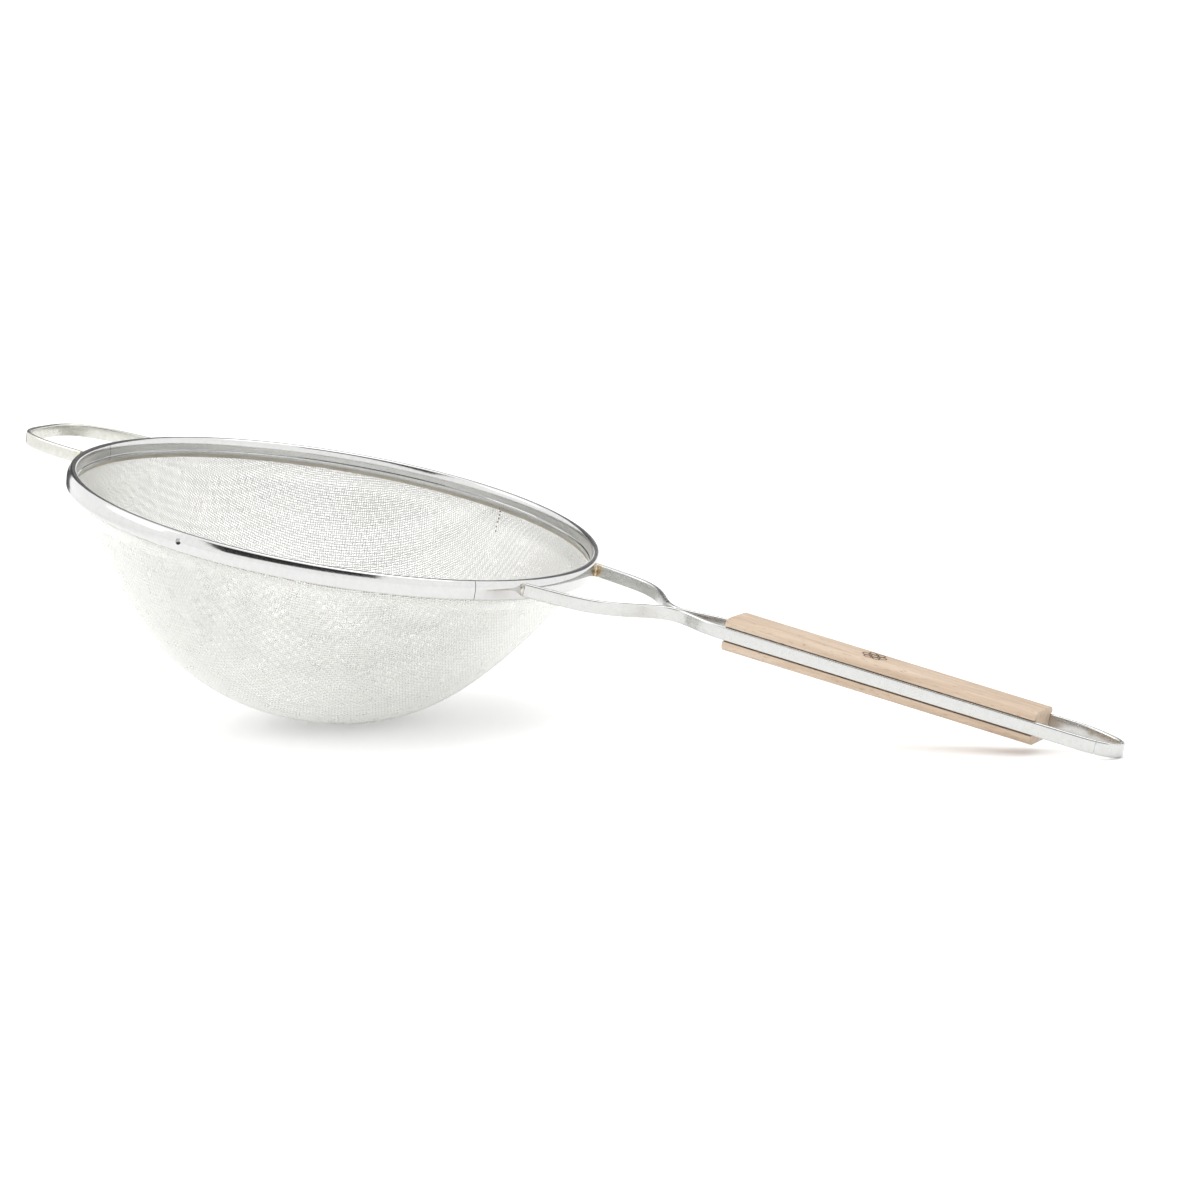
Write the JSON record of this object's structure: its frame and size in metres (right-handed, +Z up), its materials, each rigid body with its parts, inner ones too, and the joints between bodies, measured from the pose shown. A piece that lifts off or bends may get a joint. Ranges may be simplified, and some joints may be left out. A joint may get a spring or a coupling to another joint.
{
  "type": "double sieve strainer",
  "caption": "Round bowl strainer of coarse and fine wire cloth in a folded rim, with a wooden-gripped strap handle and a front rest loop, for sieving honey.",
  "frame": {"origin": "on the surface that the strainer lies on, under the middle of its bounding box", "axes": "+Z up, +X from the front rest loop towards the handle, +Y to the left of the handle; the strainer lies on its bowl and its hanging loop, so the rim leans 13.69 degrees down towards the handle"},
  "size_m": [0.572, 0.2626, 0.1443],
  "materials": {
    "coarse_cloth": "satin woven wire",
    "fine_cloth": "satin woven wire",
    "rim": "polished",
    "strap": "polished",
    "wood": "smooth, unvarnished beech"
  },
  "bodies": {
    "root": {"coarse_cloth": "coarse_cloth", "fine_cloth": "fine_cloth", "rim_near": "rim", "rim_far": "rim", "front_rest_loop": "strap", "strap_near": "strap", "strap_far": "strap", "wood_grip": "wood"}
  },
  "joints": []
}
